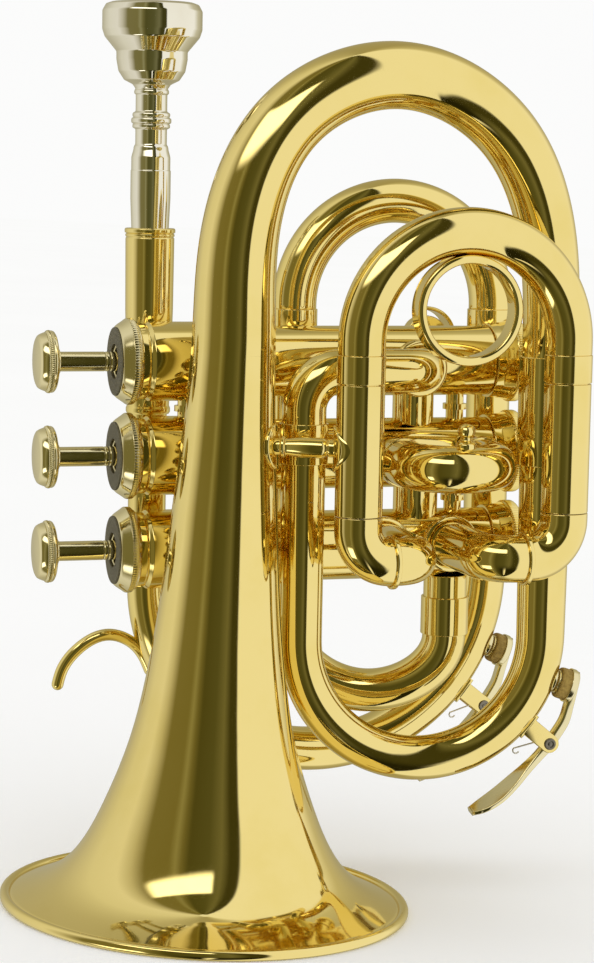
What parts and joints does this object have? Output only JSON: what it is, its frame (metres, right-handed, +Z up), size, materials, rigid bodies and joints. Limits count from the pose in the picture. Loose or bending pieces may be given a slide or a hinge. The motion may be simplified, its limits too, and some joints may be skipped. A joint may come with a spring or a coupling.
{
  "type": "pocket cornet",
  "caption": "Compact brass cornet standing on its bell, with sprung piston valves, four pull-out slides, two water keys, finger ring and mouthpiece",
  "frame": {"origin": "centre of the bell's rim, in the plane the rim stands on", "axes": "+Z up along the bell's axis towards the mouthpiece, +X across the wrap from the bell stem to the bell bow's far leg, +Y towards the leadpipe side"},
  "size_m": [0.1606, 0.1305, 0.2439],
  "materials": {
    "brass": "mirror polished, clear lacquer",
    "silver": "silver plate, mirror polished",
    "nickel": "nickel plate, polished",
    "piston": "lapped nickel alloy",
    "felt": "pressed wool felt",
    "guide": "moulded nylon",
    "spring": "bright spring wire",
    "cork": "matt cork",
    "screw": "darkened steel"
  },
  "bodies": {
    "horn": {"bell": "brass", "bell_bow": "brass", "bell_brace": "brass", "bell_rim": "brass", "bottom_caps": "brass", "casing_braces": "brass", "crossovers": "brass", "entry_bow": "brass", "ferrules": "brass", "finger_hook": "brass", "first_slide_sleeves": "brass", "key_nipples": "nickel", "key_saddles": "brass", "key_screws": "screw", "key_springs": "spring", "leadpipe": "brass", "leadpipe_bow": "brass", "mouthpiece_receiver": "brass", "port_rings": "brass", "second_slide_sleeves": "brass", "tail_bow": "brass", "tail_elbow": "brass", "third_slide_knuckle_left": "brass", "third_slide_knuckle_right": "brass", "third_slide_sleeves": "brass", "top_caps": "nickel", "tuning_slide_sleeves": "brass", "valve_1_casing": "brass", "valve_1_spring": "spring", "valve_2_casing": "brass", "valve_2_spring": "spring", "valve_3_casing": "brass", "valve_3_spring": "spring", "valve_felts": "felt", "valve_guides": "guide"},
    "mouthpiece": {"mouthpiece": "silver"},
    "tuning_slide": {"tuning_slide_bow": "brass", "tuning_slide_legs": "nickel"},
    "third_slide": {"third_slide_bow": "brass", "third_slide_legs": "nickel", "third_slide_finger_ring": "brass"},
    "second_slide": {"second_slide_bow": "brass", "second_slide_legs": "nickel", "second_slide_knob": "brass"},
    "first_slide": {"first_slide_bow": "brass", "first_slide_legs": "nickel", "first_slide_thumb_saddle": "brass"},
    "valve_1": {"valve_1_piston": "piston", "valve_1_stem": "nickel", "valve_1_button": "nickel"},
    "valve_2": {"valve_2_piston": "piston", "valve_2_stem": "nickel", "valve_2_button": "nickel"},
    "valve_3": {"valve_3_piston": "piston", "valve_3_stem": "nickel", "valve_3_button": "nickel"},
    "front_water_key": {"front_key_lever": "nickel", "front_key_cork": "cork"},
    "rear_water_key": {"rear_key_lever": "nickel", "rear_key_cork": "cork"}
  },
  "joints": [
    {"name": "valve_1_stroke", "type": "slide", "parent": "horn", "child": "valve_1", "axis": [0.9993, 0, 0.0384], "range_m": [0, 0.015], "stiffness_N_per_m": 180, "springref_m": -0.018, "deforming": ["valve_1_spring"]},
    {"name": "valve_2_stroke", "type": "slide", "parent": "horn", "child": "valve_2", "axis": [0.9993, 0, 0.0384], "range_m": [0, 0.015], "stiffness_N_per_m": 180, "springref_m": -0.018, "deforming": ["valve_2_spring"]},
    {"name": "valve_3_stroke", "type": "slide", "parent": "horn", "child": "valve_3", "axis": [0.9993, 0, 0.0384], "range_m": [0, 0.015], "stiffness_N_per_m": 180, "springref_m": -0.018, "deforming": ["valve_3_spring"]},
    {"name": "mouthpiece_pull", "type": "slide", "parent": "horn", "child": "mouthpiece", "axis": [-0.0384, 0, 0.9993], "range_m": [0, 0.03]},
    {"name": "tuning_slide_pull", "type": "slide", "parent": "horn", "child": "tuning_slide", "axis": [-0.0384, 0, 0.9993], "range_m": [0, 0.025]},
    {"name": "third_slide_pull", "type": "slide", "parent": "horn", "child": "third_slide", "axis": [-0.0384, 0, 0.9993], "range_m": [0, 0.02]},
    {"name": "second_slide_pull", "type": "slide", "parent": "horn", "child": "second_slide", "axis": [0, -1, 0], "range_m": [0, 0.006]},
    {"name": "first_slide_pull", "type": "slide", "parent": "horn", "child": "first_slide", "axis": [0, 1, 0], "range_m": [0, 0.01]},
    {"name": "front_water_key_hinge", "type": "hinge", "parent": "horn", "child": "front_water_key", "pos_m": [0.09682, -0.00027, 0.04433], "axis": [0.1025, 0.9947, 0.0039], "range_deg": [0, 10], "stiffness_Nm_per_rad": 0.03, "springref_deg": -45.84},
    {"name": "rear_water_key_hinge", "type": "hinge", "parent": "horn", "child": "rear_water_key", "pos_m": [0.09398, 0.046, 0.04587], "axis": [0, 1, 0], "range_deg": [0, 10], "stiffness_Nm_per_rad": 0.03, "springref_deg": -45.84}
  ]
}
